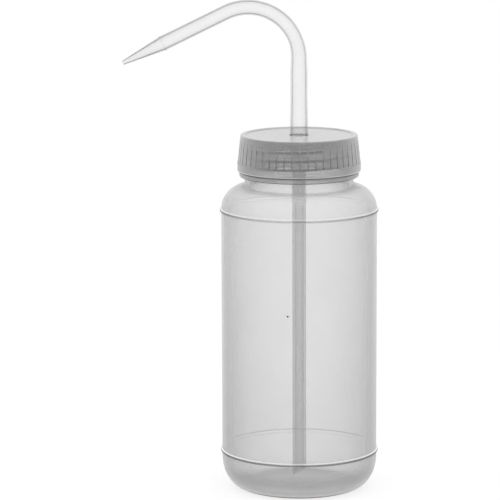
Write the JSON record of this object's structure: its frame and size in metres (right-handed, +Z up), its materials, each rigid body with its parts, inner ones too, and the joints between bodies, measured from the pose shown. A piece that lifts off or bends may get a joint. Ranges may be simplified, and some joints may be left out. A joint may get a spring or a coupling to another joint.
{
  "type": "wash bottle",
  "caption": "Squeeze wash bottle with a ribbed screw cap, a bent delivery tube drawn to a fine tip, and a straight dip tube down to its floor.",
  "frame": {"origin": "on the bottle's axis, in the plane of its standing ring", "axes": "+Z up along the bottle's axis; the spout points along -X"},
  "size_m": [0.1228, 0.0764, 0.2375],
  "materials": {
    "moulded_polypropylene": "natural translucent, satin",
    "cap_polypropylene": "natural translucent, satin",
    "tube_polyethylene": "natural translucent, smooth"
  },
  "bodies": {
    "bottle": {"bottle": "moulded_polypropylene"},
    "dip_tube": {"dip_tube": "tube_polyethylene"},
    "screw_cap": {"screw_cap": "cap_polypropylene"},
    "delivery_tube": {"delivery_tube": "tube_polyethylene"}
  },
  "joints": [
    {"name": "closure_lift", "type": "slide", "parent": "bottle", "child": "dip_tube", "axis": [0, 0, 1], "range_m": [0, 0.0084]},
    {"name": "cap_turn", "type": "hinge", "parent": "dip_tube", "child": "screw_cap", "pos_m": [0, 0, 0.16], "axis": [0, 0, 1], "range_deg": [0, 720]},
    {"name": "spout_turn", "type": "hinge", "parent": "dip_tube", "child": "delivery_tube", "pos_m": [0, 0, 0.16], "axis": [0, 0, 1], "continuous": true}
  ],
  "couplings": [
    {"joint": "closure_lift", "follows": "cap_turn", "m_per_rad": 0.00066845}
  ]
}
